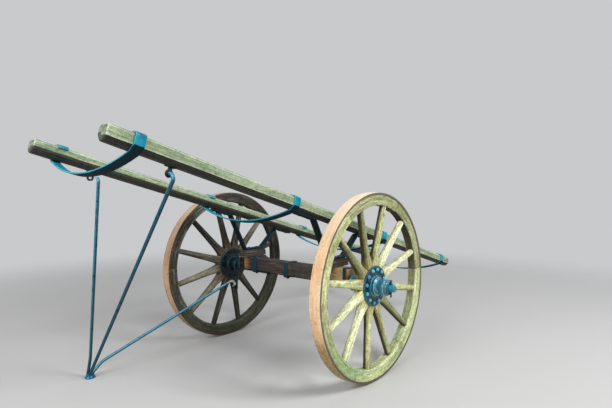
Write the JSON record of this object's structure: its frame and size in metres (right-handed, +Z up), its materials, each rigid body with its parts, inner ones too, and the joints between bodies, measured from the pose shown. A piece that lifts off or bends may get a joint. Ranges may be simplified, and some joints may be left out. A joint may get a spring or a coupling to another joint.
{
  "type": "horse cart for casks",
  "caption": "Two-wheeled horse cart with two long wooden rails, iron sling bands as a cask cradle, spoked wooden wheels and an iron prop stand.",
  "frame": {"origin": "on the floor, at the middle of the bounding box seen from above", "axes": "+X to the front, the raised ends of the rails; +Y to the left; +Z up"},
  "size_m": [3.1506, 1.612, 1.3591],
  "materials": {
    "rail_wood": "weathered, grey-green",
    "wheel_wood": "weathered, oiled",
    "beam_wood": "dark, stained",
    "tyre_iron": "pale rust",
    "hub_iron": "dark blue paint, worn",
    "band_iron": "dark blue paint, worn",
    "axle_iron": "dark, rusted",
    "stand_iron": "dark blue paint"
  },
  "bodies": {
    "cart": {"rail_left": "rail_wood", "rail_right": "rail_wood", "sling_band_1": "band_iron", "sling_band_2": "band_iron", "sling_band_3": "band_iron", "sling_band_4": "band_iron", "axle_beam": "beam_wood", "axle_iron": "axle_iron", "axle_straps": "axle_iron", "washer_left": "hub_iron", "washer_right": "hub_iron", "linchpin_left": "hub_iron", "linchpin_right": "hub_iron", "foot_block_left": "beam_wood", "foot_block_right": "beam_wood", "brace_left_front": "band_iron", "brace_left_rear": "band_iron", "brace_right_front": "band_iron", "brace_right_rear": "band_iron", "stand_eye_left": "stand_iron", "stand_eye_right": "stand_iron", "stand_lug": "stand_iron"},
    "stand": {"stand_rod_left": "stand_iron", "stand_rod_right": "stand_iron", "stand_rod_rear": "stand_iron", "stand_foot": "stand_iron"},
    "wheel_left": {"tyre_left": "tyre_iron", "felloes_left": "wheel_wood", "spokes_left": "wheel_wood", "flange_outer_left": "hub_iron", "flange_inner_left": "hub_iron", "nave_left": "hub_iron"},
    "wheel_right": {"tyre_right": "tyre_iron", "felloes_right": "wheel_wood", "spokes_right": "wheel_wood", "flange_outer_right": "hub_iron", "flange_inner_right": "hub_iron", "nave_right": "hub_iron"}
  },
  "joints": [
    {"name": "wheel_left_turn", "type": "hinge", "parent": "cart", "child": "wheel_left", "pos_m": [0.10942, 0.641, 0.55], "axis": [0, 1, 0], "continuous": true},
    {"name": "wheel_right_turn", "type": "hinge", "parent": "cart", "child": "wheel_right", "pos_m": [0.10942, -0.641, 0.55], "axis": [0, 1, 0], "continuous": true},
    {"name": "stand_swing", "type": "hinge", "parent": "cart", "child": "stand", "pos_m": [1.2844, 0, 1.17811], "axis": [0, -1, 0], "range_deg": [0, 25]}
  ]
}
